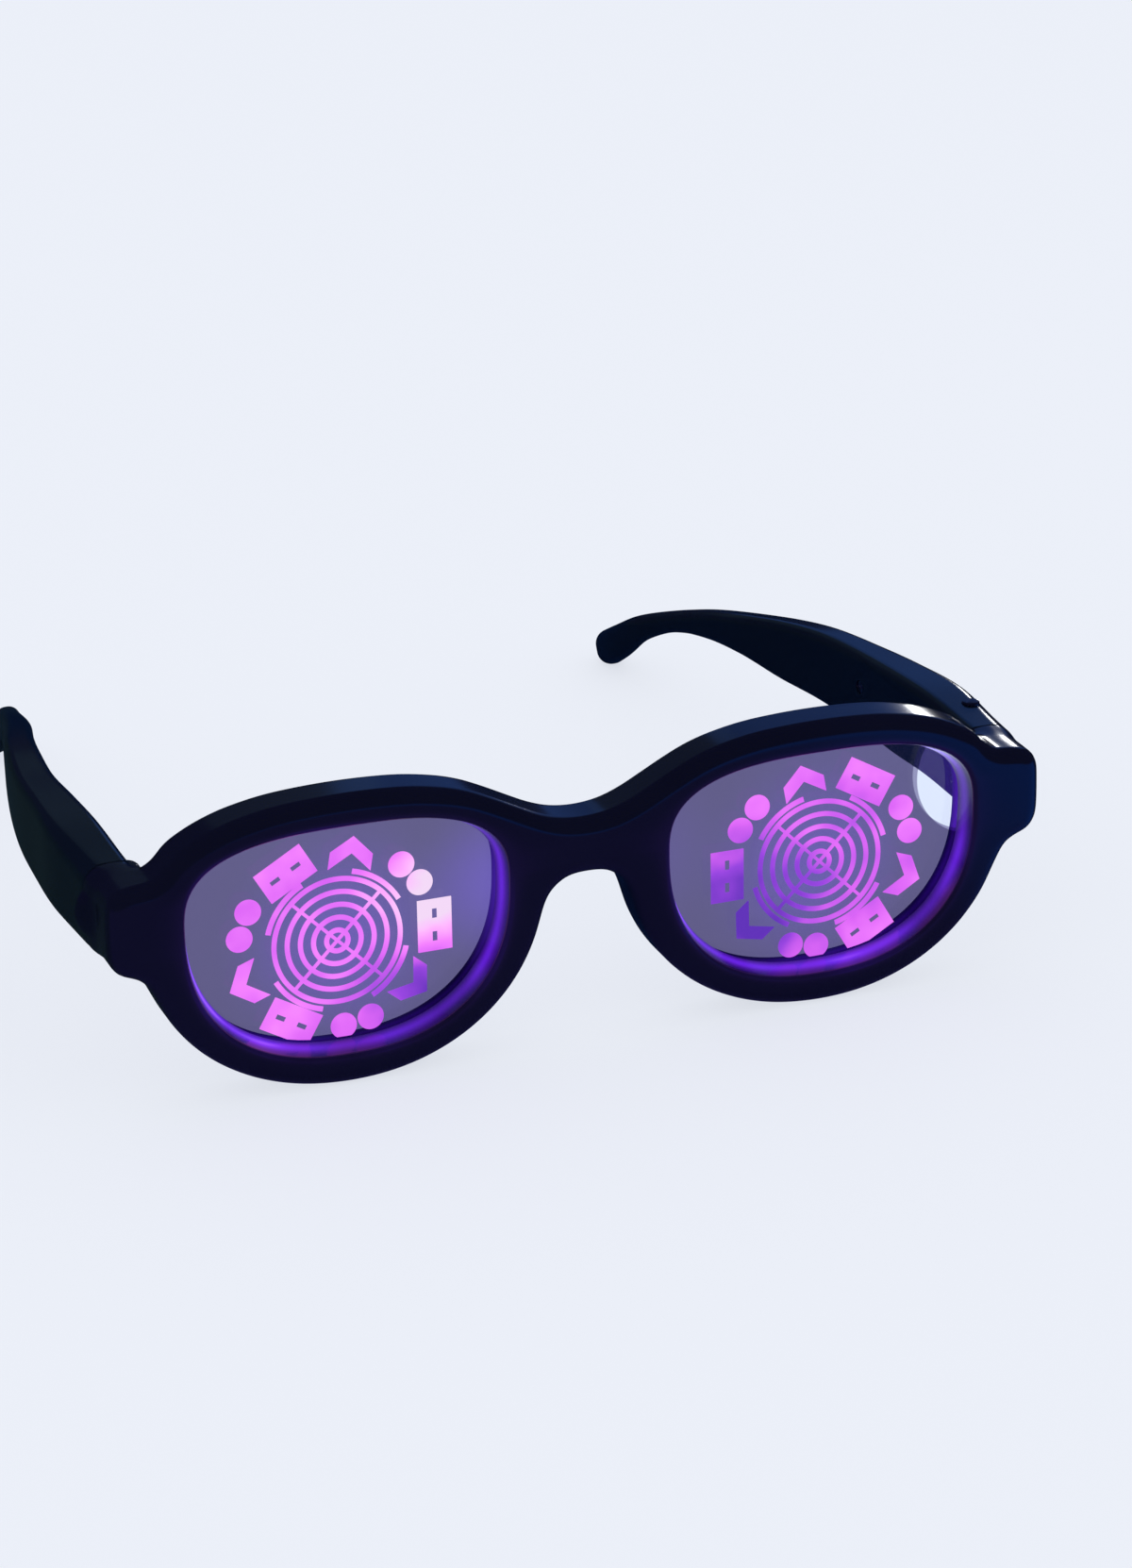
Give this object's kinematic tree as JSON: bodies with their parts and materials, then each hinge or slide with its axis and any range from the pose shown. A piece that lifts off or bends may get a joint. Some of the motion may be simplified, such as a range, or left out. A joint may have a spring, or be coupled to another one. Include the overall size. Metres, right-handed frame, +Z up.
{
  "type": "light-up glasses",
  "caption": "Light-up glasses: moulded frame with two hinged temples, edge-lit tinted lenses with printed rings, and a battery pocket and button in one temple.",
  "frame": {"origin": "on the surface that the glasses stand on, under the middle of their outline", "axes": "+X towards the wearer's left across the lenses, -Y out of the front, +Z up"},
  "size_m": [0.1524, 0.1445, 0.0463],
  "materials": {
    "frame": "polished moulded plastic, near-black navy",
    "temple": "polished moulded plastic, near-black",
    "lens": "clear tinted acrylic",
    "marks": "light-scattering print",
    "led_board": "white solder mask",
    "led": "moulded lens",
    "board": "green solder mask",
    "chip": "moulded black epoxy",
    "switch": "moulded",
    "button": "polished moulded plastic",
    "lead": "insulated copper",
    "steel": "zinc plated",
    "cell": "nickel plated",
    "contact": "plated spring brass"
  },
  "bodies": {
    "front": {"front_shell": "frame", "rear_cover": "frame", "left_lens": "lens", "right_lens": "lens", "left_lens_marks": "marks", "right_lens_marks": "marks", "left_led_board": "led_board", "right_led_board": "led_board", "left_leds": "led", "right_leds": "led", "led_resistors": "chip", "bridge_lead": "lead", "brow_lead": "lead", "hinge_lead": "lead", "rear_cover_screws": "steel", "left_hinge_pin": "steel", "right_hinge_pin": "steel"},
    "left_arm": {"left_temple": "temple", "left_temple_cover": "temple", "left_cover_screws": "steel", "button_cells": "cell", "outer_cell_strap": "contact", "positive_contact": "contact", "negative_contact": "contact", "positive_lead": "lead", "control_board": "board", "control_chip": "chip", "control_resistor": "chip", "switch_body": "switch"},
    "door": {"battery_door": "temple", "battery_door_screw": "steel", "inner_cell_strap": "contact"},
    "button": {"power_button": "button", "switch_plunger": "chip"},
    "right_arm": {"right_temple": "temple", "right_temple_cover": "temple", "right_cover_screws": "steel"}
  },
  "joints": [
    {"name": "left_temple_hinge", "type": "hinge", "parent": "front", "child": "left_arm", "pos_m": [0.0686, -0.0571, 0.02926], "axis": [0, 0.0373, 0.9993], "range_deg": [0, 85], "deforming": ["hinge_lead"]},
    {"name": "right_temple_hinge", "type": "hinge", "parent": "front", "child": "right_arm", "pos_m": [-0.0686, -0.0571, 0.02926], "axis": [0, -0.0373, -0.9993], "range_deg": [0, 78]},
    {"name": "battery_door_lift", "type": "slide", "parent": "left_arm", "child": "door", "axis": [-1, 0, 0], "range_m": [0, 0.005]},
    {"name": "power_button_press", "type": "slide", "parent": "left_arm", "child": "button", "axis": [0, -0.0373, -0.9993], "range_m": [0, 0.0003], "stiffness_N_per_m": 3000}
  ]
}
